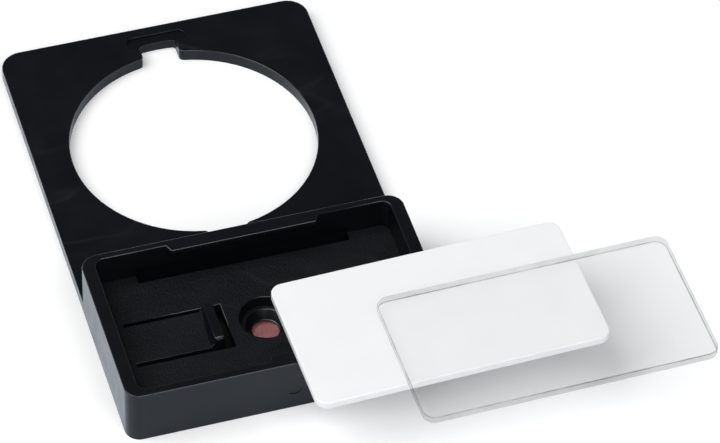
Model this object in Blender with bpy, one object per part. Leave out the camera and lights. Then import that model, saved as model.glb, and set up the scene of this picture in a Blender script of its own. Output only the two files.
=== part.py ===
# Label holder for a 22 mm push button, with its label insert and clear cover laid out.
#
# One black moulding carries the button hole at the back and a shallow label pocket at
# the front. Two spring tongues are cut out of the pocket floor. The white insert and
# the clear cover lie loose over the front right corner of the pocket frame.
#
# Metres, +Z up, -Y is the front. The world origin lies on the back face, on the centre
# line, on the bridge of material between the button hole and the label frame.

import math

import bmesh
import bpy
from mathutils import Matrix, Vector

MM = 0.001

# Button hole, for a 22 mm push button with a key on its collar.
HOLE_D = 22.5
NOTCH_W = 3.45
NOTCH_DEPTH = 1.75
NOTCH_CORNER_R = 0.35
NOTCH_MOUTH_R = 0.45

# Plate and frame outline. The strips are what is left beyond the notches' far walls.
OUTLINE_W = 29.2
BACK_STRIP = 2.0
BRIDGE_STRIP = 2.2
FRAME_L = 16.7
PLATE_T = 1.2
FRAME_H = 5.65
BACK_CORNER_R = 2.0
FRONT_CORNER_R = 1.3
FRAME_REAR_CORNER_R = 1.5

# Label pocket.
SIDE_WALL = 1.2
REAR_WALL = 0.65
FRONT_WALL = 0.8
FLOOR_TOP = 2.5
FLOOR_T = 1.0
POCKET_CORNER_R = 0.8

# Catch lips along the top of the rear and front walls.
REAR_LIP_W = 13.8
REAR_LIP_REACH = 0.72
FRONT_LIP_W = 3.8
FRONT_LIP_REACH = 0.65
LIP_T = 0.6
LIP_END_TAPER = 0.3
LIP_ROOT = 0.3
LIP_SLOPE_DOWN = 0.25
LIP_SLOPE_UP = 0.2

# Moulding slot in the floor under the rear lip, with a shallow step up the wall.
SLOT_W = 19.3
SLOT_REACH = 0.9
SLOT_STEP_DEPTH = 0.2
SLOT_STEP_H = 0.7

# Spring tongues.
ROOT_TO_WALL = 1.2
TONGUE_OPENING_END_X = 3.45
TONGUE_GAP_END = 0.85
TONGUE_GAP_SIDE = 0.35
TONGUE_W = 4.3
ROOT_CLEARANCE = 0.05
RIDGE_H = 1.0
RIDGE_W = 1.15
RIDGE_RAMP = 0.3
RIDGE_END_BEVEL = 0.25
RIDGE_END_INSET = 0.1
RECESS_MARGIN = 0.9
RECESS_MARGIN_TO_PAD = 0.5

# Stepped centre hole in the floor.
BORE_TOP_R = 2.35
BORE_STEP_R = 2.2
BORE_CONE_R = 1.86
BORE_FOOT_R = 1.2
BORE_STEP_DEPTH = 1.0
BORE_FOOT_H = 0.15
BORE_FOOT_LAND = 0.12

# Adhesive pad in its recess under the frame.
PAD_W = 3.6
PAD_L = 9.4
PAD_T = 0.3
PAD_CORNER_R = 0.3
PAD_GAP = 0.3

# Shallow ledge round the rear notch, and the ejector mark on the front face.
LEDGE_W = 5.5
LEDGE_BEHIND = 0.9
LEDGE_AHEAD = 0.6
LEDGE_CORNER_R = 0.6
LEDGE_DEPTH = 0.25
MARK_R = 0.65
MARK_DEPTH = 0.08
MARK_X = 0.16
MARK_Z = 2.25

# Label insert and clear cover, and the room they have in the pocket in all.
INSERT_ROOM_X = 0.3
INSERT_ROOM_Y = 1.15
INSERT_T = 0.75
INSERT_CORNER_R = 1.1
COVER_T = 0.8
COVER_CORNER_R = 1.1
LOOSE_EDGE = 0.1

# Where the loose pieces lie: the insert's centre in from the frame's right side and
# front face, and the cover's centre from the insert's.
INSERT_FROM_SIDE = 1.1
INSERT_FROM_FRONT = 1.5
INSERT_TURN = 1.5
COVER_SHIFT_X = 8.0
COVER_SHIFT_Y = 4.9
COVER_TURN = 0.9
REST_GAP = 0.3

# The world origin lies this far in front of the front notch's far wall.
ORIGIN_TO_NOTCH = 1.3

# How far cutters run past what they cut, and how finely arcs are divided.
CUT_PAST = 2.0
THIN_PAST = 0.2
CLEAR_PAST = 5.0
CORNER_ROOM = 0.02
ARC_STEPS = 8

# Values that follow from the sizes above.
NOTCH_REACH = HOLE_D / 2 + NOTCH_DEPTH
HOLE_Y = NOTCH_REACH + ORIGIN_TO_NOTCH
HALF_W = OUTLINE_W / 2
BACK_Y = HOLE_Y + NOTCH_REACH + BACK_STRIP
FRAME_REAR_Y = HOLE_Y - NOTCH_REACH - BRIDGE_STRIP
FRONT_Y = FRAME_REAR_Y - FRAME_L
POCKET_HALF_W = HALF_W - SIDE_WALL
POCKET_REAR_Y = FRAME_REAR_Y - REAR_WALL
POCKET_FRONT_Y = FRONT_Y + FRONT_WALL
POCKET_MID_Y = (POCKET_REAR_Y + POCKET_FRONT_Y) / 2
FLOOR_UNDER = FLOOR_TOP - FLOOR_T
TONGUE_ROOT_X = POCKET_HALF_W - ROOT_TO_WALL
INSERT_W = 2 * POCKET_HALF_W - INSERT_ROOM_X
INSERT_L = POCKET_REAR_Y - POCKET_FRONT_Y - INSERT_ROOM_Y
INSERT_X = HALF_W - INSERT_FROM_SIDE
INSERT_Y = FRONT_Y + INSERT_FROM_FRONT
COVER_X = INSERT_X + COVER_SHIFT_X
COVER_Y = INSERT_Y - COVER_SHIFT_Y


def remove_all_objects():
    for obj in list(bpy.data.objects):
        bpy.data.objects.remove(obj, do_unlink=True)


def make_material(name, colour, roughness, metallic=0.0, alpha=1.0, transmission=0.0):
    material = bpy.data.materials.new(name)
    material.use_nodes = True
    shader = material.node_tree.nodes["Principled BSDF"]
    shader.inputs["Base Color"].default_value = (colour[0], colour[1], colour[2], 1.0)
    shader.inputs["Roughness"].default_value = roughness
    shader.inputs["Metallic"].default_value = metallic
    shader.inputs["Alpha"].default_value = alpha
    shader.inputs["Transmission Weight"].default_value = transmission
    return material


def add_object(name, bm, material=None):
    bmesh.ops.recalc_face_normals(bm, faces=bm.faces[:])
    mesh = bpy.data.meshes.new(name)
    bm.to_mesh(mesh)
    bm.free()
    obj = bpy.data.objects.new(name, mesh)
    bpy.context.collection.objects.link(obj)
    if material:
        mesh.materials.append(material)
    return obj


def arc(cx, cy, radius, start, end, steps=ARC_STEPS):
    points = []
    for i in range(steps + 1):
        angle = math.radians(start + (end - start) * i / steps)
        points.append((cx + radius * math.cos(angle), cy + radius * math.sin(angle)))
    return points


def rounded_outline(x0, x1, y0, y1, front_r, back_r):
    points = arc(x1 - front_r, y0 + front_r, front_r, -90, 0)
    points += arc(x1 - back_r, y1 - back_r, back_r, 0, 90)
    points += arc(x0 + back_r, y1 - back_r, back_r, 90, 180)
    points += arc(x0 + front_r, y0 + front_r, front_r, 180, 270)
    return points


def prism(outline, z0, z1):
    bm = bmesh.new()
    low = [bm.verts.new((x * MM, y * MM, z0 * MM)) for x, y in outline]
    high = [bm.verts.new((x * MM, y * MM, z1 * MM)) for x, y in outline]
    bm.faces.new(list(reversed(low)))
    bm.faces.new(high)
    count = len(outline)
    for i in range(count):
        j = (i + 1) % count
        bm.faces.new((low[i], low[j], high[j], high[i]))
    return bm


def side_profile_prism(profile, y0, y1):
    # The profile is in X and Z, and is pushed out along Y.
    bm = bmesh.new()
    near = [bm.verts.new((x * MM, y0 * MM, z * MM)) for x, z in profile]
    far = [bm.verts.new((x * MM, y1 * MM, z * MM)) for x, z in profile]
    bm.faces.new(near)
    bm.faces.new(list(reversed(far)))
    count = len(profile)
    for i in range(count):
        j = (i + 1) % count
        bm.faces.new((near[j], near[i], far[i], far[j]))
    return bm


def box(x0, x1, y0, y1, z0, z1):
    return prism([(x0, y0), (x1, y0), (x1, y1), (x0, y1)], z0, z1)


def turned(profile, cx, cy, steps=48):
    # A closed round body: the profile runs from the foot on the axis to the top on it.
    bm = bmesh.new()
    rings = []
    for radius, z in profile:
        if radius == 0:
            rings.append([bm.verts.new((cx * MM, cy * MM, z * MM))])
            continue
        ring = []
        for i in range(steps):
            angle = 2 * math.pi * i / steps
            x = cx + radius * math.cos(angle)
            y = cy + radius * math.sin(angle)
            ring.append(bm.verts.new((x * MM, y * MM, z * MM)))
        rings.append(ring)
    for lower, upper in zip(rings, rings[1:]):
        for i in range(steps):
            j = (i + 1) % steps
            if len(lower) == 1:
                bm.faces.new((lower[0], upper[j], upper[i]))
            elif len(upper) == 1:
                bm.faces.new((lower[i], lower[j], upper[0]))
            else:
                bm.faces.new((lower[i], lower[j], upper[j], upper[i]))
    return bm


def cut(target, name, bm):
    cutter = add_object(name, bm)
    cutter.hide_render = True
    cutter.display_type = "WIRE"
    modifier = target.modifiers.new(name, "BOOLEAN")
    modifier.operation = "DIFFERENCE"
    modifier.solver = "EXACT"
    modifier.object = cutter


def join(target, name, bm):
    tool = add_object(name, bm)
    tool.hide_render = True
    tool.display_type = "WIRE"
    modifier = target.modifiers.new(name, "BOOLEAN")
    modifier.operation = "UNION"
    modifier.solver = "EXACT"
    modifier.object = tool


def notch_points(side):
    # One key notch, counter-clockwise, from the hole's edge out and back to it.
    # side is +1 for the rear notch and -1 for the front one.
    hole_r = HOLE_D / 2
    half = NOTCH_W / 2
    mouth_x = half + NOTCH_MOUTH_R
    mouth_y = math.sqrt((hole_r + NOTCH_MOUTH_R) ** 2 - mouth_x ** 2)
    mouth_turn = math.degrees(math.atan2(mouth_y, mouth_x))
    corner_x = half - NOTCH_CORNER_R
    corner_y = math.sqrt((NOTCH_REACH - NOTCH_CORNER_R) ** 2 - corner_x ** 2)
    corner_turn = math.degrees(math.atan2(corner_y, corner_x))
    right = arc(mouth_x, mouth_y, NOTCH_MOUTH_R, 180 + mouth_turn, 180, 5)
    right += arc(corner_x, corner_y, NOTCH_CORNER_R, 0, corner_turn, 5)
    far_wall = arc(0, 0, NOTCH_REACH, corner_turn, 180 - corner_turn, 6)
    left = [(-x, y) for x, y in reversed(right)]
    points = right + far_wall[1:-1] + left
    return [(x * side, y * side) for x, y in points], mouth_turn


def button_hole_outline():
    rear, turn = notch_points(1)
    front, turn = notch_points(-1)
    hole_r = HOLE_D / 2
    right_side = arc(0, 0, hole_r, -turn, turn, 40)
    left_side = arc(0, 0, hole_r, 180 - turn, 180 + turn, 40)
    points = right_side[1:-1] + rear + left_side[1:-1] + front
    return [(x, y + HOLE_Y) for x, y in points]


def above_plate_outline():
    # Everything behind the frame and above the plate is cut away. The radius is a
    # touch over the frame's corner radius, so the cut leaves the side walls cleanly.
    past = HALF_W + CLEAR_PAST
    back = BACK_Y + CLEAR_PAST
    radius = FRAME_REAR_CORNER_R + CORNER_ROOM
    centre_x = HALF_W - FRAME_REAR_CORNER_R
    centre_y = FRAME_REAR_Y - radius
    points = [(-past, back), (-past, centre_y), (-centre_x - radius, centre_y)]
    points += arc(-centre_x, centre_y, radius, 180, 90)[1:]
    points += arc(centre_x, centre_y, radius, 90, 0)[:-1]
    points += [(centre_x + radius, centre_y), (past, centre_y), (past, back)]
    return points


def lip_bm(half_w, wall_y, reach, side):
    # A catch lip: flat on top, sloping underneath, with tapered ends. side is the
    # direction it reaches in, and its root lies inside the wall.
    root = wall_y - side * LIP_ROOT
    edge = wall_y + side * reach
    top = FRAME_H
    low = FRAME_H - LIP_T - LIP_SLOPE_DOWN
    high = FRAME_H - LIP_T + LIP_SLOPE_UP
    taper = half_w - LIP_END_TAPER
    bm = bmesh.new()
    corners = [
        (-half_w, root, top), (half_w, root, top), (half_w, wall_y, top),
        (taper, edge, top), (-taper, edge, top), (-half_w, wall_y, top),
        (-half_w, root, low), (half_w, root, low), (half_w, wall_y, low),
        (taper, edge, high), (-taper, edge, high), (-half_w, wall_y, low),
    ]
    v = [bm.verts.new((x * MM, y * MM, z * MM)) for x, y, z in corners]
    bm.faces.new(v[0:6])
    bm.faces.new((v[6], v[7], v[8], v[11]))
    bm.faces.new((v[11], v[8], v[9], v[10]))
    for i in range(6):
        j = (i + 1) % 6
        bm.faces.new((v[i], v[j], v[6 + j], v[6 + i]))
    return bm


def bore_profile():
    foot = PAD_T + PAD_GAP + BORE_FOOT_H
    step = FLOOR_TOP - BORE_STEP_DEPTH
    return [
        (0, -CUT_PAST), (BORE_FOOT_R, -CUT_PAST), (BORE_FOOT_R, foot),
        (BORE_FOOT_R + BORE_FOOT_LAND, foot), (BORE_CONE_R, step),
        (BORE_STEP_R, step), (BORE_TOP_R, FLOOR_TOP),
        (BORE_TOP_R, FLOOR_TOP + CUT_PAST), (0, FLOOR_TOP + CUT_PAST),
    ]


def build_holder(material):
    outline = rounded_outline(-HALF_W, HALF_W, FRONT_Y, BACK_Y, FRONT_CORNER_R, BACK_CORNER_R)
    holder = add_object("label_holder", prism(outline, 0, FRAME_H), material)
    above = prism(above_plate_outline(), PLATE_T, FRAME_H + CUT_PAST)
    cut(holder, "cutter_above_plate", above)
    hole = prism(button_hole_outline(), -CUT_PAST, PLATE_T + CUT_PAST)
    cut(holder, "cutter_button_hole", hole)
    pocket = rounded_outline(
        -POCKET_HALF_W, POCKET_HALF_W, POCKET_FRONT_Y, POCKET_REAR_Y,
        POCKET_CORNER_R, POCKET_CORNER_R)
    cut(holder, "cutter_pocket", prism(pocket, FLOOR_TOP, FRAME_H + CUT_PAST))
    rear_lip = lip_bm(REAR_LIP_W / 2, POCKET_REAR_Y, REAR_LIP_REACH, -1)
    join(holder, "union_rear_lip", rear_lip)
    front_lip = lip_bm(FRONT_LIP_W / 2, POCKET_FRONT_Y, FRONT_LIP_REACH, 1)
    join(holder, "union_front_lip", front_lip)
    slot = box(
        -SLOT_W / 2, SLOT_W / 2, POCKET_REAR_Y - SLOT_REACH,
        POCKET_REAR_Y + SLOT_STEP_DEPTH, -CUT_PAST, FLOOR_TOP + SLOT_STEP_H)
    cut(holder, "cutter_moulding_slot", slot)
    half_opening = TONGUE_W / 2 + TONGUE_GAP_SIDE
    for label, side in (("left", -1), ("right", 1)):
        xs = sorted((side * TONGUE_ROOT_X, side * TONGUE_OPENING_END_X))
        opening = box(
            xs[0], xs[1], POCKET_MID_Y - half_opening, POCKET_MID_Y + half_opening,
            FLOOR_UNDER - THIN_PAST, FLOOR_TOP + THIN_PAST)
        cut(holder, "cutter_" + label + "_tongue_opening", opening)
        xs = sorted((
            side * (TONGUE_ROOT_X + RECESS_MARGIN),
            side * (TONGUE_OPENING_END_X - RECESS_MARGIN_TO_PAD)))
        recess = box(
            xs[0], xs[1], POCKET_MID_Y - half_opening - RECESS_MARGIN,
            POCKET_MID_Y + half_opening + RECESS_MARGIN, -CUT_PAST, FLOOR_UNDER)
        cut(holder, "cutter_" + label + "_tongue_recess", recess)
    cut(holder, "cutter_centre_bore", turned(bore_profile(), 0, POCKET_MID_Y))
    pad_recess = box(
        -PAD_W / 2 - PAD_GAP, PAD_W / 2 + PAD_GAP,
        POCKET_MID_Y - PAD_L / 2 - PAD_GAP, POCKET_MID_Y + PAD_L / 2 + PAD_GAP,
        -CUT_PAST, PAD_T + PAD_GAP)
    cut(holder, "cutter_pad_recess", pad_recess)
    notch_end_y = HOLE_Y + NOTCH_REACH
    ledge = rounded_outline(
        -LEDGE_W / 2, LEDGE_W / 2, notch_end_y - LEDGE_AHEAD, notch_end_y + LEDGE_BEHIND,
        LEDGE_CORNER_R, LEDGE_CORNER_R)
    cut(holder, "cutter_notch_ledge", prism(ledge, PLATE_T - LEDGE_DEPTH, PLATE_T + CUT_PAST))
    mark = turned(
        [(0, 0), (MARK_R, 0), (MARK_R, MARK_DEPTH + CUT_PAST), (0, MARK_DEPTH + CUT_PAST)],
        0, 0, 24)
    to_front = Matrix.Rotation(math.radians(90), 3, "X")
    bmesh.ops.rotate(mark, cent=(0, 0, 0), verts=mark.verts[:], matrix=to_front)
    offset = Vector((MARK_X * MM, (FRONT_Y + MARK_DEPTH) * MM, MARK_Z * MM))
    bmesh.ops.translate(mark, verts=mark.verts[:], vec=offset)
    cut(holder, "cutter_ejector_mark", mark)
    return holder


def tongue_section(side, y, drop, inset):
    # One cross section of the tongue across X and Z. drop lowers the ridge's top at
    # its ends and inset narrows it there.
    root = TONGUE_ROOT_X - ROOT_CLEARANCE
    tip = TONGUE_OPENING_END_X + TONGUE_GAP_END
    ridge_foot = tip + RIDGE_W
    ridge_top = FLOOR_TOP + RIDGE_H - drop
    points = [
        (root, FLOOR_UNDER), (tip, FLOOR_UNDER), (tip, FLOOR_TOP),
        (tip + inset, ridge_top), (ridge_foot - RIDGE_RAMP - inset, ridge_top),
        (ridge_foot, FLOOR_TOP), (root, FLOOR_TOP),
    ]
    return [(side * x * MM, y * MM, z * MM) for x, z in points]


def build_tongue(label, side, material):
    half = TONGUE_W / 2
    sections = [
        tongue_section(side, POCKET_MID_Y - half, RIDGE_END_BEVEL, RIDGE_END_INSET),
        tongue_section(side, POCKET_MID_Y - half + RIDGE_END_BEVEL, 0, 0),
        tongue_section(side, POCKET_MID_Y + half - RIDGE_END_BEVEL, 0, 0),
        tongue_section(side, POCKET_MID_Y + half, RIDGE_END_BEVEL, RIDGE_END_INSET),
    ]
    bm = bmesh.new()
    rows = [[bm.verts.new(point) for point in section] for section in sections]
    count = len(rows[0])
    bm.faces.new((rows[0][0], rows[0][1], rows[0][2], rows[0][5], rows[0][6]))
    bm.faces.new((rows[0][2], rows[0][3], rows[0][4], rows[0][5]))
    bm.faces.new((rows[3][0], rows[3][1], rows[3][2], rows[3][5], rows[3][6]))
    bm.faces.new((rows[3][2], rows[3][3], rows[3][4], rows[3][5]))
    for lower, upper in zip(rows, rows[1:]):
        for i in range(count):
            j = (i + 1) % count
            bm.faces.new((lower[i], lower[j], upper[j], upper[i]))
    hinge = Vector((side * TONGUE_ROOT_X * MM, POCKET_MID_Y * MM, FLOOR_UNDER * MM))
    bmesh.ops.translate(bm, verts=bm.verts[:], vec=-hinge)
    tongue = add_object(label + "_spring_tongue", bm, material)
    tongue.location = hinge
    return tongue


def build_loose_plate(name, thickness, corner_r, cx, cy, bottom, turn, material):
    outline = rounded_outline(
        -INSERT_W / 2, INSERT_W / 2, -INSERT_L / 2, INSERT_L / 2, corner_r, corner_r)
    plate = add_object(name, prism(outline, 0, thickness), material)
    plate.location = (cx * MM, cy * MM, bottom * MM)
    plate.rotation_euler = (0, 0, math.radians(turn))
    bevel = plate.modifiers.new("edge", "BEVEL")
    bevel.width = LOOSE_EDGE * MM
    bevel.segments = 2
    bevel.limit_method = "ANGLE"
    bevel.angle_limit = math.radians(60)
    return plate


def build_pad(material):
    outline = rounded_outline(
        -PAD_W / 2, PAD_W / 2, POCKET_MID_Y - PAD_L / 2, POCKET_MID_Y + PAD_L / 2,
        PAD_CORNER_R, PAD_CORNER_R)
    return add_object("adhesive_pad", prism(outline, 0, PAD_T), material)


remove_all_objects()

black_plastic = make_material("black_plastic", (0.016, 0.017, 0.019), 0.32)
tongue_plastic = make_material("tongue_plastic", (0.014, 0.016, 0.018), 0.5)
white_plastic = make_material("white_plastic", (0.83, 0.84, 0.85), 0.4)
clear_plastic = make_material("clear_plastic", (0.95, 0.96, 0.96), 0.06, 0.0, 0.35, 1.0)
pad_foam = make_material("pad_foam", (0.42, 0.18, 0.17), 0.8)

build_holder(black_plastic)
build_tongue("left", -1, tongue_plastic)
build_tongue("right", 1, tongue_plastic)
build_pad(pad_foam)

insert_bottom = FRAME_H + REST_GAP
cover_bottom = insert_bottom + INSERT_T + REST_GAP
build_loose_plate(
    "label_insert", INSERT_T, INSERT_CORNER_R, INSERT_X, INSERT_Y, insert_bottom,
    INSERT_TURN, white_plastic)
build_loose_plate(
    "clear_cover", COVER_T, COVER_CORNER_R, COVER_X, COVER_Y, cover_bottom,
    COVER_TURN, clear_plastic)
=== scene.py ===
# %% [markdown]
# # A label holder for a 22 mm push button
#
# The real object is a small black moulding with a round button hole at the back and a
# shallow pocket at the front. A white label insert and a clear cover belong in the
# pocket, and here they lie loose over its front right corner. The solid model already
# has every piece at its real size, so this lesson only adds looks: soft moulded edges,
# surface finishes, light, floor and camera. The first cell loads that model and can read
# the box of each of its pieces.

# %% Load the solid model
import math

import bmesh
import bpy
from mathutils import Matrix, Vector


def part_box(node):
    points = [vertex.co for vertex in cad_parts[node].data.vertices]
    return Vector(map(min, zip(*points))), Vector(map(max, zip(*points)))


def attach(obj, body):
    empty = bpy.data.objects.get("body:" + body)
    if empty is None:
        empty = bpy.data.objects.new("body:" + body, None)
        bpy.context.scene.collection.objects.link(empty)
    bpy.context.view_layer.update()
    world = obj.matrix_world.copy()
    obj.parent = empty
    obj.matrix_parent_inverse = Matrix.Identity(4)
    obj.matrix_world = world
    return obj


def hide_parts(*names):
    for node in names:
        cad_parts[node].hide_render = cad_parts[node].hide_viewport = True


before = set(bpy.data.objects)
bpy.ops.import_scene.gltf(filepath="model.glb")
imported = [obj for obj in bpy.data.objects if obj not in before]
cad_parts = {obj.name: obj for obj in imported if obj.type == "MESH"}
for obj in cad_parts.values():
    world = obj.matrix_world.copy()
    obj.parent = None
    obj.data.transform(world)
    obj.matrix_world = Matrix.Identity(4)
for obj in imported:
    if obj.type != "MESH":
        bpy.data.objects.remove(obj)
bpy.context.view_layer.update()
MM = 0.001


def in_mm(vector):
    return [round(value / MM, 2) for value in vector]


print("pieces:", sorted(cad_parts))

# %% [markdown]
# ## Camera
#
# A product shot of something this small is taken with a long lens from well away, which
# keeps the long edges almost parallel. The camera could be aimed with a Track To
# constraint, but a plain rotation matrix says exactly where its three axes point, and
# nothing can shift it later. The turn is given as one vector: it points along the axis,
# and its length is the angle in radians. Turned that way, the three rows of the matrix
# are the camera's right, down and ahead directions.

# %% Place the camera
LENS_MM = 217.55
SENSOR_MM = 36.0
CLIP_NEAR = 10.0 * MM
CLIP_FAR = 20.0
camera_at = Vector((-71.497, -248.354, 286.455)) * MM
turn = Vector((2.3801, -0.3428, 0.1669))

world_to_lens = Matrix.Rotation(turn.length, 3, turn.normalized())
right, down, ahead = world_to_lens
camera_axes = Matrix((right, -down, -ahead)).transposed()

camera_data = bpy.data.cameras.new("product_camera")
camera_data.lens = LENS_MM
camera_data.sensor_width = SENSOR_MM
camera_data.clip_start = CLIP_NEAR
camera_data.clip_end = CLIP_FAR
camera = bpy.data.objects.new("product_camera", camera_data)
camera.matrix_world = Matrix.Translation(camera_at) @ camera_axes.to_4x4()
bpy.context.scene.collection.objects.link(camera)
bpy.context.scene.camera = camera
bpy.context.scene.view_settings.view_transform = "Standard"
print("camera looks along", [round(value, 3) for value in ahead])

# %% [markdown]
# ## Building materials from nodes
#
# Every finish below is a small node tree, so a few helpers save a lot of typing. The
# first adds a node and fills in its inputs. An input that is given another node's output
# gets a link, and anything else is written on the socket itself. The second makes a
# material that holds only its output and one Principled shader. The others each stand
# for one node: sums, a noise, a stretched range, two mixed colours, a bump, and the
# position and direction of the surface. A Mix node has sockets for every kind of data,
# so its colour ones are called by their numbers. A noise hardly ever comes near 0 or 1,
# so `spread` stretches only the middle of it, mildly or strongly, over a wanted range.

# %% Node helpers
MIX_AMOUNT, MIX_FIRST, MIX_SECOND, MIX_RESULT = 0, 6, 7, 2
MILD = (0.3, 0.7)
STRONG = (0.35, 0.65)


def add_node(tree, kind, inputs=None, **settings):
    node = tree.nodes.new(kind)
    for name, value in settings.items():
        setattr(node, name, value)
    for key, value in (inputs or {}).items():
        if isinstance(value, bpy.types.NodeSocket):
            tree.links.new(value, node.inputs[key])
        else:
            node.inputs[key].default_value = value
    return node


def new_finish(name):
    material = bpy.data.materials.new(name)
    material.use_nodes = True
    tree = material.node_tree
    shader = tree.nodes["Principled BSDF"]
    return material, tree, shader


def math_node(tree, operation, first, second=0.0):
    node = add_node(tree, "ShaderNodeMath", {0: first, 1: second}, operation=operation)
    return node.outputs[0]


def plus(tree, first, second):
    return math_node(tree, "ADD", first, second)


def minus(tree, first, second):
    return math_node(tree, "SUBTRACT", first, second)


def times(tree, first, second):
    return math_node(tree, "MULTIPLY", first, second)


def size_of(tree, value):
    return math_node(tree, "ABSOLUTE", value)


def less(tree, value, limit):
    return math_node(tree, "LESS_THAN", value, limit)


def more(tree, value, limit):
    return math_node(tree, "GREATER_THAN", value, limit)


def larger(tree, first, second):
    return math_node(tree, "MAXIMUM", first, second)


def noise(tree, position, scale, detail=3.0, roughness=0.5):
    inputs = {"Vector": position, "Scale": scale, "Detail": detail, "Roughness": roughness}
    return add_node(tree, "ShaderNodeTexNoise", inputs).outputs["Fac"]


def remap(tree, value, low, high, to_low, to_high):
    inputs = {0: value, 1: low, 2: high, 3: to_low, 4: to_high}
    return add_node(tree, "ShaderNodeMapRange", inputs, clamp=True).outputs[0]


def spread(tree, value, to_low, to_high, contrast=MILD):
    return remap(tree, value, *contrast, to_low, to_high)


def mix_colours(tree, amount, first, second):
    inputs = {MIX_AMOUNT: amount, MIX_FIRST: first, MIX_SECOND: second}
    node = add_node(tree, "ShaderNodeMix", inputs, data_type="RGBA")
    return node.outputs[MIX_RESULT]


def bump(tree, height, distance, strength=1.0, normal=None):
    inputs = {"Height": height, "Distance": distance, "Strength": strength}
    if normal:
        inputs["Normal"] = normal
    return add_node(tree, "ShaderNodeBump", inputs).outputs["Normal"]


def object_position(tree):
    return add_node(tree, "ShaderNodeTexCoord").outputs["Object"]


def split(tree, vector):
    return add_node(tree, "ShaderNodeSeparateXYZ", {0: vector}).outputs


def facing(tree):
    return split(tree, add_node(tree, "ShaderNodeNewGeometry").outputs["Normal"])


print("node helpers are ready")

# %% [markdown]
# ## Floor and backdrop
#
# The object lies on a plain white table. Turning the lamps up until a table burns out
# would also wash out the black plastic, so the table keeps a plain white paint and adds
# a little glow that only the camera, mirror-like reflections and clear plastic can see.
# It still darkens wherever the object blocks the light. A dark patch on the table, under
# the label frame, stands for full shade, because next to no light gets through the
# tongues' narrow slots. The clear cover keeps the glow back too, once the view has passed
# both of its faces, so the table reads as a light grey through it. In reflections the
# table is a little cooler, as a white table near a window is, and that gives the black
# plastic its cold shine.

# %% Make the floor
FLOOR_SIZE = 6.0
FLOOR_DROP = 0.02 * MM
UNDER_EDGE = 0.7 * MM
FRAME_REAR_Y = -0.9 * MM
TABLE_GLOW = 0.13
CLEAR_FACES = 2.0
WHITE_TABLE = (0.90, 0.90, 0.905, 1.0)
COOL_TABLE = (0.83, 0.905, 1.0, 1.0)
FULL_SHADE = (0.02, 0.02, 0.02, 1.0)

floor_mesh = bpy.data.meshes.new("floor")
half_floor = FLOOR_SIZE / 2
floor_corners = [
    (x * half_floor, y * half_floor, -FLOOR_DROP)
    for x, y in ((-1, -1), (1, -1), (1, 1), (-1, 1))]
floor_mesh.from_pydata(floor_corners, [], [(0, 1, 2, 3)])
floor = bpy.data.objects.new("floor", floor_mesh)
bpy.context.scene.collection.objects.link(floor)

holder_low, holder_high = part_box("label_holder")
floor_paint, tree, shader = new_finish("floor_paint")
tree.nodes.remove(shader)
place = split(tree, object_position(tree))
under = less(tree, size_of(tree, place["X"]), holder_high.x - UNDER_EDGE)
under = times(tree, under, less(tree, place["Y"], FRAME_REAR_Y - UNDER_EDGE))
under = times(tree, under, more(tree, place["Y"], holder_low.y + UNDER_EDGE))

rays = add_node(tree, "ShaderNodeLightPath").outputs
seen_colour = mix_colours(tree, under, WHITE_TABLE, FULL_SHADE)
mirrored_colour = mix_colours(tree, under, COOL_TABLE, FULL_SHADE)
table_colour = mix_colours(tree, rays["Is Glossy Ray"], seen_colour, mirrored_colour)
paint = add_node(tree, "ShaderNodeBsdfDiffuse", {"Color": table_colour})

seen = larger(tree, rays["Is Camera Ray"], rays["Is Glossy Ray"])
seen = larger(tree, seen, rays["Is Transmission Ray"])
glow_strength = times(tree, seen, TABLE_GLOW)
glow_strength = times(tree, glow_strength, minus(tree, 1.0, under))
not_through_cover = remap(tree, rays["Transparent Depth"], 0.0, CLEAR_FACES, 1.0, 0.0)
glow_strength = times(tree, glow_strength, not_through_cover)
glow = add_node(tree, "ShaderNodeEmission", {"Strength": glow_strength})
both = add_node(tree, "ShaderNodeAddShader", {0: paint.outputs[0], 1: glow.outputs[0]})
tree.links.new(both.outputs[0], tree.nodes["Material Output"].inputs["Surface"])
floor_mesh.materials.append(floor_paint)
print("floor is", FLOOR_SIZE, "m wide")

# %% [markdown]
# ## Light
#
# Two large soft lamps and a dim room do the work. The key lamp stands on the left, so
# the soft shadows fall to the right, and the pocket is darkest beside its left and rear
# walls. The front lamp fills in, and draws the bright line along the front edges. Both
# stay away from the direction that the black top mirrors towards the camera,
# which keeps it deep black.

# %% Place two soft lamps
AIM_AT = Vector((0.0, -8.0, 0.0)) * MM


def add_soft_lamp(name, direction, distance, width, watts, colour):
    lamp = bpy.data.lights.new(name, "AREA")
    lamp.shape = "RECTANGLE"
    lamp.size = width
    lamp.size_y = width
    lamp.energy = watts
    lamp.color = colour
    lamp_object = bpy.data.objects.new(name, lamp)
    away = Vector(direction).normalized()
    lamp_object.location = AIM_AT + away * distance
    lamp_object.rotation_euler = away.to_track_quat("Z", "Y").to_euler()
    bpy.context.scene.collection.objects.link(lamp_object)
    print(name, "gives", watts, "W from", distance, "m away")


add_soft_lamp(
    "key_lamp", direction=(-0.55, 0.03, 0.84), distance=0.9, width=0.72,
    watts=6.3, colour=(1.0, 1.0, 0.995))
add_soft_lamp(
    "front_lamp", direction=(0.05, -0.62, 0.78), distance=1.0, width=0.6,
    watts=4.9, colour=(0.985, 0.99, 1.0))

# %% [markdown]
# ## Room
#
# The camera and anything clear see a plain white room. Reflections see it white round
# the horizon only, as a swept white table is. The light that the room gives is bright
# there too and dim overhead, and that thin bright band shows along the moulded edges.
# If reflections saw white overhead as well, the black top would turn grey.

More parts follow.
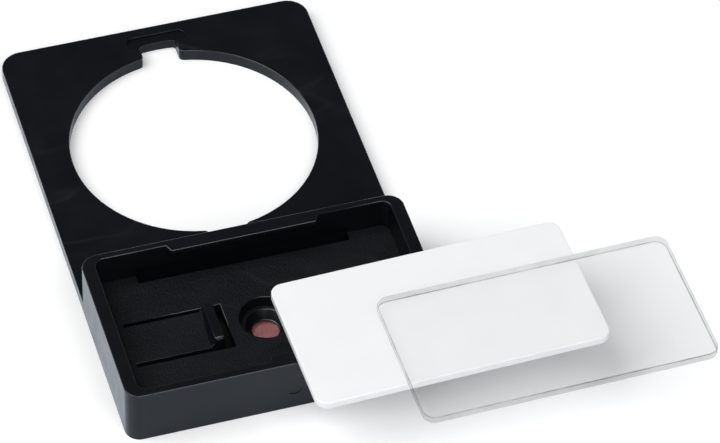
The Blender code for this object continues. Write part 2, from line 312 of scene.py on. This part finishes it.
# %% Light the room
HORIZON_LIGHT, OVERHEAD_LIGHT = 0.75, 0.10
DIM_HEIGHT = 0.45
WHITE_HEIGHT, WHITE_GONE_HEIGHT = 0.02, 0.12
PLAIN_WHITE = (1.0, 1.0, 1.0, 1.0)
COOL_WHITE = (0.95, 0.97, 1.0, 1.0)

room = bpy.data.worlds.new("room")
room.use_nodes = True
bpy.context.scene.world = room
tree = room.node_tree
tree.nodes.clear()
height = split(tree, add_node(tree, "ShaderNodeTexCoord").outputs["Generated"])["Z"]
room_level = remap(tree, height, 0.0, DIM_HEIGHT, HORIZON_LIGHT, OVERHEAD_LIGHT)
dim = add_node(
    tree, "ShaderNodeBackground", {"Color": COOL_WHITE, "Strength": room_level})
white = add_node(
    tree, "ShaderNodeBackground", {"Color": PLAIN_WHITE, "Strength": 1.0})

rays = add_node(tree, "ShaderNodeLightPath").outputs
near_horizon = remap(tree, height, WHITE_HEIGHT, WHITE_GONE_HEIGHT, 1.0, 0.0)
mirrored = times(tree, rays["Is Glossy Ray"], near_horizon)
seen = larger(tree, rays["Is Camera Ray"], mirrored)
seen = larger(tree, seen, rays["Is Transmission Ray"])
pick = add_node(
    tree, "ShaderNodeMixShader", {0: seen, 1: dim.outputs[0], 2: white.outputs[0]})
output = add_node(tree, "ShaderNodeOutputWorld")
tree.links.new(pick.outputs[0], output.inputs["Surface"])
print("the room gives", HORIZON_LIGHT, "at the horizon and", OVERHEAD_LIGHT, "overhead")

# %% [markdown]
# ## Softening the moulding's edges
#
# No moulded edge is perfectly sharp: the steel tool leaves a radius of about a tenth of
# a millimetre, and that radius is what catches the light. The solid model leaves it out.
# The Bevel shader node could fake it in the shading alone, but a real bevel also shows in
# the outline. So each black piece is copied from its solid, its split corners are welded,
# its flat faces are made whole again, and a Bevel modifier rounds every sharp outer edge.
# Inner corners and the edges on the table stay as they are. Some steps are shallower
# than the radius. Those at the ejector mark, the ledge by the rear notch and the tongues'
# roots take a much smaller one, and the two ends of the slot in the pocket stay sharp.
# The new rounded faces get the second material slot, because an edge that hands touch is
# polished a little brighter.

# %% Copy a solid with softened edges
EDGE_MM = 0.11
TONGUE_EDGE_MM = 0.06
SHALLOW_EDGE_MM = 0.03
EDGE_STRIPS = 2
EDGE_SLOT = 1
WELD = 0.002 * MM
UNDERSIDE = 0.01 * MM
FLAT_ANGLE = math.radians(0.4)
SHARP_ANGLE = math.radians(32.0)


def softened_copy(node_name, piece_name, edge_mm, is_shallow, stays_sharp):
    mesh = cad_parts[node_name].data.copy()
    mesh.name = piece_name
    bm = bmesh.new()
    bm.from_mesh(mesh)
    bmesh.ops.remove_doubles(bm, verts=bm.verts[:], dist=WELD)
    bmesh.ops.dissolve_limit(
        bm, angle_limit=FLAT_ANGLE, verts=bm.verts[:], edges=bm.edges[:])
    weights = bm.edges.layers.float.new("bevel_weight_edge")
    count = 0
    for edge in bm.edges:
        if len(edge.link_faces) != 2 or edge.calc_face_angle(0.0) < SHARP_ANGLE:
            continue
        middle = (edge.verts[0].co + edge.verts[1].co) / 2
        if middle.z < UNDERSIDE or not edge.is_convex or stays_sharp(middle):
            edge.smooth = False
            continue
        edge[weights] = SHALLOW_EDGE_MM / edge_mm if is_shallow(middle) else 1.0
        count += 1
    for face in bm.faces:
        face.smooth = True
    bm.to_mesh(mesh)
    bm.free()
    mesh.materials.clear()
    piece = bpy.data.objects.new(piece_name, mesh)
    bpy.context.scene.collection.objects.link(piece)
    bevel = piece.modifiers.new("soft_edges", "BEVEL")
    bevel.width = edge_mm * MM
    bevel.segments = EDGE_STRIPS
    bevel.limit_method = "WEIGHT"
    bevel.use_clamp_overlap = False
    bevel.material = EDGE_SLOT
    smooth = piece.modifiers.new("weighted", "WEIGHTED_NORMAL")
    smooth.keep_sharp = True
    print(piece_name, "has", count, "softened edges")
    return piece


# %% [markdown]
# ## Where the small steps are
#
# The softening has to know the shallow places. Each test below takes the middle of an
# edge and says whether it belongs to one of them. The places are measured from the
# boxes of the holder and of the left tongue. The holder is the same on its left and its
# right, so the tests look at the distance from its middle line.

# %% Find the shallow steps
MARK_HALF_WIDTH = 1.0 * MM
MARK_LOW_Z, MARK_HIGH_Z = 0.5 * MM, 4.0 * MM
FRONT_FACE_REACH = 0.1 * MM
LEDGE_HALF_WIDTH = 2.9 * MM
LEDGE_FROM_REAR = 2.7 * MM
LEDGE_TO_REAR = 0.5 * MM
SLOT_HALF_WIDTH = 9.65 * MM
SLOT_REACH = 0.1 * MM
SLOT_FRONT_Y, SLOT_REAR_Y = -2.6 * MM, -1.2 * MM
SLOT_TOP_Z = 3.4 * MM
ROOT_REACH = 0.01 * MM
BESIDE_ROOT_REACH = 0.06 * MM
BESIDE_TONGUE = 0.3 * MM
tongue_low, tongue_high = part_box("left_spring_tongue")


def from_root(point):
    return abs(abs(point.x) - abs(tongue_low.x))


def at_root(point):
    return from_root(point) < ROOT_REACH


def beside_root(point):
    in_y = tongue_low.y - BESIDE_TONGUE < point.y < tongue_high.y + BESIDE_TONGUE
    return from_root(point) < BESIDE_ROOT_REACH and in_y


def in_mark(point):
    on_front = abs(point.y - holder_low.y) < FRONT_FACE_REACH
    across = abs(point.x) < MARK_HALF_WIDTH
    return on_front and across and MARK_LOW_Z < point.z < MARK_HIGH_Z


def on_ledge(point):
    from_rear = holder_high.y - point.y
    across = abs(point.x) < LEDGE_HALF_WIDTH
    return across and LEDGE_TO_REAR < from_rear < LEDGE_FROM_REAR


def on_shallow_step(point):
    return in_mark(point) or on_ledge(point) or beside_root(point)


def at_slot_end(point):
    across = abs(abs(point.x) - SLOT_HALF_WIDTH) < SLOT_REACH
    return across and SLOT_FRONT_Y < point.y < SLOT_REAR_Y and point.z < SLOT_TOP_Z


def nowhere(point):
    return False


print("left tongue lies from", in_mm(tongue_low), "to", in_mm(tongue_high))

# %% [markdown]
# ## Holder and spring tongues
#
# The holder and its two tongues are one moulding. The tongues are pieces of their own
# only because they bend. Each is one with the pocket floor at its root, so there it laps
# a little way into the floor, a hair below its surface, and no seam shows.

# %% Soften the three black pieces
ROOT_LAP = 0.15 * MM
ROOT_SINK = 0.004 * MM
TONGUE_MIDDLE_Z = 2.0 * MM

holder = softened_copy(
    "label_holder", "moulded_holder", EDGE_MM, on_shallow_step, at_slot_end)
left_tongue = softened_copy(
    "left_spring_tongue", "moulded_left_tongue", TONGUE_EDGE_MM, at_root, nowhere)
right_tongue = softened_copy(
    "right_spring_tongue", "moulded_right_tongue", TONGUE_EDGE_MM, at_root, nowhere)
for tongue in (left_tongue, right_tongue):
    for vertex in tongue.data.vertices:
        if at_root(vertex.co):
            vertex.co.x += math.copysign(ROOT_LAP, vertex.co.x)
            vertex.co.z -= math.copysign(ROOT_SINK, vertex.co.z - TONGUE_MIDDLE_Z)
print("the tongues lap", ROOT_LAP / MM, "mm into the floor")

# %% [markdown]
# ## Marks in the black plastic
#
# Two kinds of faint marks keep a moulding from looking like paint. Flow lines run across
# where the plastic met itself in the tool: they follow the crest of a stretched noise,
# and only show in some patches. Dust specks are the middles of a few cells of a cell
# pattern, picked by the cells' random colours. Both could be painted as pictures, but
# patterns made from the position have no seams and stay sharp at any distance.

# %% Draw flow lines and specks
FLOW_STRETCH = (90.0, 190.0, 90.0)
FLOW_CREST = 0.56
FLOW_HALF_WIDTH = 0.030
PATCH_SCALE = 55.0
PATCH_FROM, PATCH_FULL = 0.50, 0.62
SPECK_CELLS = 620.0
SPECK_SIZE = 0.060
SPECK_RARITY = 0.985


def flow_lines(tree, position):
    stretched = add_node(
        tree, "ShaderNodeMapping", {"Vector": position, "Scale": FLOW_STRETCH})
    flow = noise(tree, stretched.outputs[0], scale=1.0, detail=2.0, roughness=0.45)
    off_crest = size_of(tree, minus(tree, flow, FLOW_CREST))
    line = remap(tree, off_crest, 0.0, FLOW_HALF_WIDTH, 1.0, 0.0)
    patchy = noise(tree, position, scale=PATCH_SCALE, detail=1.0)
    patches = remap(tree, patchy, PATCH_FROM, PATCH_FULL, 0.0, 1.0)
    return times(tree, line, patches)


def dust_specks(tree, position):
    cells = add_node(
        tree, "ShaderNodeTexVoronoi", {"Vector": position, "Scale": SPECK_CELLS})
    near_middle = less(tree, cells.outputs["Distance"], SPECK_SIZE)
    luck = add_node(tree, "ShaderNodeSeparateColor", {0: cells.outputs["Color"]})
    chosen = more(tree, luck.outputs[0], SPECK_RARITY)
    return times(tree, near_middle, chosen)


print("one cell in", round(1 / (1 - SPECK_RARITY)), "has a speck")

# %% [markdown]
# ## Black moulding
#
# The plastic is black with a faint cold tint and a half gloss. The gloss is a little
# uneven. The pocket floor has a fine grain, and the two long sides are smoother, as the
# tool was polished there to let the part go. The same recipe makes the worn edges, with
# more gloss and a stronger reflection. All of it follows the piece's own position, so it
# stays in place from every side.

# %% Mix the black plastic
DEEP_BLACK = (0.0026, 0.0034, 0.0048, 1.0)
SOFT_BLACK = (0.0042, 0.0050, 0.0064, 1.0)
FLOW_GREY = (0.016, 0.017, 0.019, 1.0)
DUST_GREY = (0.20, 0.20, 0.20, 1.0)
COLD_SHINE = (0.93, 0.96, 1.0, 1.0)
LINE_TINT, SPECK_TINT = 0.4, 0.55
ROUGH_LOW, ROUGH_HIGH = 0.30, 0.40
LINE_ROUGH, SPECK_ROUGH, GRAIN_ROUGH = 0.05, 0.3, 0.12
SIDE_POLISH = 0.16
SIDE_FROM, SIDE_FULL = 0.8, 0.95
GRAIN_FRONT_OF_Y = -1.2 * MM
GRAIN_HEIGHT, GRAIN_STRENGTH = 0.09 * MM, 0.9
RIPPLE_HEIGHT, RIPPLE_STRENGTH = 0.004 * MM, 0.5
FACING_UP = 0.9


def on_pocket_floor(tree, position, up, grain_top):
    place = split(tree, position)
    mask = times(tree, less(tree, place["Z"], grain_top), more(tree, up, FACING_UP))
    return times(tree, mask, less(tree, place["Y"], GRAIN_FRONT_OF_Y))


def black_moulding(name, grain_top, ior, gloss):
    material, tree, shader = new_finish(name)
    position = object_position(tree)
    line, speck = flow_lines(tree, position), dust_specks(tree, position)

    cloudy = noise(tree, position, scale=160.0, detail=4.0, roughness=0.55)
    cloudy = spread(tree, cloudy, 0.0, 1.0, STRONG)
    base = mix_colours(tree, cloudy, DEEP_BLACK, SOFT_BLACK)
    base = mix_colours(tree, times(tree, line, LINE_TINT), base, FLOW_GREY)
    base = mix_colours(tree, times(tree, speck, SPECK_TINT), base, DUST_GREY)
    tree.links.new(base, shader.inputs["Base Color"])

    direction = facing(tree)
    on_floor = on_pocket_floor(tree, position, direction["Z"], grain_top)
    side_polish = max(0.0, SIDE_POLISH - gloss)
    polished = remap(
        tree, size_of(tree, direction["X"]), SIDE_FROM, SIDE_FULL, 0.0, side_polish)
    rough = noise(tree, position, scale=420.0)
    rough = spread(tree, rough, ROUGH_LOW - gloss, ROUGH_HIGH - gloss)
    rough = plus(tree, rough, times(tree, line, LINE_ROUGH))
    rough = plus(tree, rough, times(tree, speck, SPECK_ROUGH))
    rough = minus(tree, rough, polished)
    rough = plus(tree, rough, times(tree, on_floor, GRAIN_ROUGH))
    tree.links.new(rough, shader.inputs["Roughness"])

    ripple = noise(tree, position, scale=900.0, detail=2.0)
    grain = noise(tree, position, scale=7000.0, detail=2.0, roughness=0.6)
    grain = times(tree, grain, on_floor)
    bumpy = bump(tree, ripple, RIPPLE_HEIGHT, RIPPLE_STRENGTH)
    bumpy = bump(tree, grain, GRAIN_HEIGHT, GRAIN_STRENGTH, bumpy)
    tree.links.new(bumpy, shader.inputs["Normal"])
    shader.inputs["IOR"].default_value = ior
    shader.inputs["Specular Tint"].default_value = COLD_SHINE
    print("mixed", name)
    return material


# %% [markdown]
# ## Two finishes on each black piece
#
# Each black piece gets the finish twice. The first is for its faces, and the second is
# for the rounded edges that the Bevel modifier made, which shine more and have no grain.
# A mask painted by hand could part the two as well, but the modifier already knows which
# faces it made. Each piece then rides on the body that moves it, and stands in for its
# solid.

# %% Dress the three black pieces
GRAIN_TOP = 2.7 * MM
NO_GRAIN = 0.0
FACE_IOR, EDGE_IOR = 1.33, 1.55
FACE_GLOSS, EDGE_GLOSS = 0.0, 0.10

moulding = black_moulding("black_moulding", GRAIN_TOP, FACE_IOR, FACE_GLOSS)
edge_shine = black_moulding("black_moulding_edges", NO_GRAIN, EDGE_IOR, EDGE_GLOSS)
for piece, node_name, body in (
        (holder, "label_holder", "holder"),
        (left_tongue, "left_spring_tongue", "left_tongue"),
        (right_tongue, "right_spring_tongue", "right_tongue")):
    piece.data.materials.append(moulding)
    piece.data.materials.append(edge_shine)
    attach(piece, body)
    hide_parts(node_name)
    print(piece.name, "rides on", body)

# %% [markdown]
# ## White label insert
#
# The insert is a small white plate that carries the legend on a real panel. It is left
# blank here. White plastic is never one even white: it is a touch cooler in places and
# has a very fine surface grain. Its side walls are painted slightly greyer than its top,
# as painted shade. The solid already has the right softened edges, so it keeps its shape.

# %% Mix the white plastic
COOL_PLASTIC = (0.900, 0.905, 0.915, 1.0)
PLAIN_PLASTIC = (0.920, 0.923, 0.925, 1.0)
SIDE_SHADE_GREY = (0.78, 0.78, 0.80, 1.0)
SIDE_SHADE_AMOUNT = 0.35
SIDE_SHADE_FULL, SIDE_SHADE_GONE = 0.2, 0.8
WHITE_ROUGH = (0.34, 0.46)
WHITE_GRAIN, WHITE_GRAIN_STRENGTH = 0.008 * MM, 0.35


def give_finish(piece, material):
    piece.data.materials.clear()
    piece.data.materials.append(material)


def white_plastic():
    material, tree, shader = new_finish("white_insert")
    position = object_position(tree)
    cloudy = spread(tree, noise(tree, position, scale=220.0), 0.0, 1.0, STRONG)
    base = mix_colours(tree, cloudy, COOL_PLASTIC, PLAIN_PLASTIC)
    steep = size_of(tree, facing(tree)["Z"])
    # painted shade: the steep side walls are painted greyer than the top
    edge = remap(tree, steep, SIDE_SHADE_FULL, SIDE_SHADE_GONE, 1.0, 0.0)
    base = mix_colours(tree, times(tree, edge, SIDE_SHADE_AMOUNT), base, SIDE_SHADE_GREY)
    tree.links.new(base, shader.inputs["Base Color"])
    rough = spread(tree, noise(tree, position, scale=500.0, detail=2.0), *WHITE_ROUGH)
    tree.links.new(rough, shader.inputs["Roughness"])
    fine = noise(tree, position, scale=3500.0, detail=2.0)
    grain = bump(tree, fine, WHITE_GRAIN, WHITE_GRAIN_STRENGTH)
    tree.links.new(grain, shader.inputs["Normal"])
    return material


insert_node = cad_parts["label_insert"]
give_finish(insert_node, white_plastic())
low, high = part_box("label_insert")
print("insert lies from", in_mm(low), "to", in_mm(high))

# %% [markdown]
# ## Clear cover
#
# The cover is a clear plate that snaps over the insert. A true glass shader would throw
# a dark shadow unless light is traced through it for a long time, so the broad faces are
# nearly see-through by their alpha and keep only their gloss. What really draws a clear
# plate is its rim. Its rounded edges are painted as two fine dark lines of painted shade,
# in the plastic's own slight green and uneven, with a paler band of wall between them.
# The upper line is painted the stronger one. The direction of the surface tells the
# faces, the wall and the rounded edges apart.

# %% Mix the clear plastic
CLEAR_GREY = (0.50, 0.53, 0.52, 1.0)
RIM_GREEN_AND_SHADE = (0.040, 0.047, 0.044, 1.0)
FACE_ALPHA = (0.024, 0.036)
WALL_ALPHA = (0.10, 0.26)
PAINTED_LINE_ALPHA = (0.20, 0.48)
LOWER_LINE, UPPER_LINE = 0.35, 1.25
RIM_FULL, RIM_GONE = 0.80, 0.97
WALL_ONLY, LINE_FULL = 0.12, 0.30
LOWER_UP, UPPER_UP = -0.3, 0.3
CLEAR_ROUGH = (0.05, 0.12)
CLEAR_RIPPLE, CLEAR_RIPPLE_STRENGTH = 0.004 * MM, 0.3
CLEAR_IOR = 1.49


def clear_alpha(tree, position, up, steep, rim):
    haze = noise(tree, position, scale=260.0)
    streaky = noise(tree, position, scale=300.0, detail=2.0)
    face_alpha = spread(tree, haze, *FACE_ALPHA)
    wall_alpha = spread(tree, streaky, *WALL_ALPHA)
    # painted shade: the rounded edges are drawn as dark lines, the upward one stronger
    painted_line_alpha = spread(tree, streaky, *PAINTED_LINE_ALPHA, STRONG)
    upper_painted_stronger = remap(tree, up, LOWER_UP, UPPER_UP, LOWER_LINE, UPPER_LINE)
    painted_line_alpha = times(tree, painted_line_alpha, upper_painted_stronger)
    off_wall = remap(tree, steep, WALL_ONLY, LINE_FULL, 0.0, 1.0)
    on_painted_line = times(tree, rim, off_wall)
    rim_extra = times(tree, rim, minus(tree, wall_alpha, face_alpha))
    alpha = plus(tree, face_alpha, rim_extra)
    return plus(tree, alpha, times(tree, on_painted_line, painted_line_alpha))


def clear_plastic():
    material, tree, shader = new_finish("clear_cover")
    position = object_position(tree)
    up = facing(tree)["Z"]
    steep = size_of(tree, up)
    rim = remap(tree, steep, RIM_FULL, RIM_GONE, 1.0, 0.0)
    alpha = clear_alpha(tree, position, up, steep, rim)
    tree.links.new(alpha, shader.inputs["Alpha"])
    # the rim is tinted dark green: the plastic's slight green with painted shade on it
    base = mix_colours(tree, rim, CLEAR_GREY, RIM_GREEN_AND_SHADE)
    tree.links.new(base, shader.inputs["Base Color"])
    rough = spread(tree, noise(tree, position, scale=700.0, detail=2.0), *CLEAR_ROUGH)
    tree.links.new(rough, shader.inputs["Roughness"])
    fine = noise(tree, position, scale=600.0, detail=2.0)
    ripple = bump(tree, fine, CLEAR_RIPPLE, CLEAR_RIPPLE_STRENGTH)
    tree.links.new(ripple, shader.inputs["Normal"])
    shader.inputs["IOR"].default_value = CLEAR_IOR
    return material


cover_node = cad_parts["clear_cover"]
give_finish(cover_node, clear_plastic())
low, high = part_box("clear_cover")
print("cover lies from", in_mm(low), "to", in_mm(high))

# %% [markdown]
# ## Foam pad
#
# Under the pocket, a thin pink foam pad holds the moulding to the panel. It shows only
# through the centre hole. Foam is matte and pitted with open cells, which a cell pattern
# gives better than plain noise. The pits are painted darker, as painted shade in them.

# %% Mix the foam
DARK_PINK = (0.33, 0.120, 0.115, 1.0)
LIGHT_PINK = (0.41, 0.165, 0.155, 1.0)
PIT_SHADE_RED = (0.20, 0.065, 0.06, 1.0)
PIT_CELLS = 4500.0
PIT_REACH, PIT_SHADE_AMOUNT = 0.5, 0.45
PIT_ROUGH, SKIN_ROUGH, SKIN_FROM = 0.95, 0.75, 0.7
PIT_DEPTH, PIT_STRENGTH = 0.05 * MM, 0.7


def pad_foam():
    material, tree, shader = new_finish("pad_foam")
    position = object_position(tree)
    cells = add_node(
        tree, "ShaderNodeTexVoronoi", {"Vector": position, "Scale": PIT_CELLS})
    from_pit = cells.outputs["Distance"]
    cloudy = spread(tree, noise(tree, position, scale=700.0), 0.0, 1.0)
    base = mix_colours(tree, cloudy, DARK_PINK, LIGHT_PINK)
    # painted shade: darker red towards the middle of each pit
    pit_shade = remap(tree, from_pit, 0.0, PIT_REACH, PIT_SHADE_AMOUNT, 0.0)
    base = mix_colours(tree, pit_shade, base, PIT_SHADE_RED)
    tree.links.new(base, shader.inputs["Base Color"])
    rough = remap(tree, from_pit, 0.0, SKIN_FROM, PIT_ROUGH, SKIN_ROUGH)
    tree.links.new(rough, shader.inputs["Roughness"])
    pitted = bump(tree, from_pit, PIT_DEPTH, PIT_STRENGTH)
    tree.links.new(pitted, shader.inputs["Normal"])
    return material


pad_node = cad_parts["adhesive_pad"]
give_finish(pad_node, pad_foam())
print("pad pits are up to", PIT_DEPTH / MM, "mm deep")
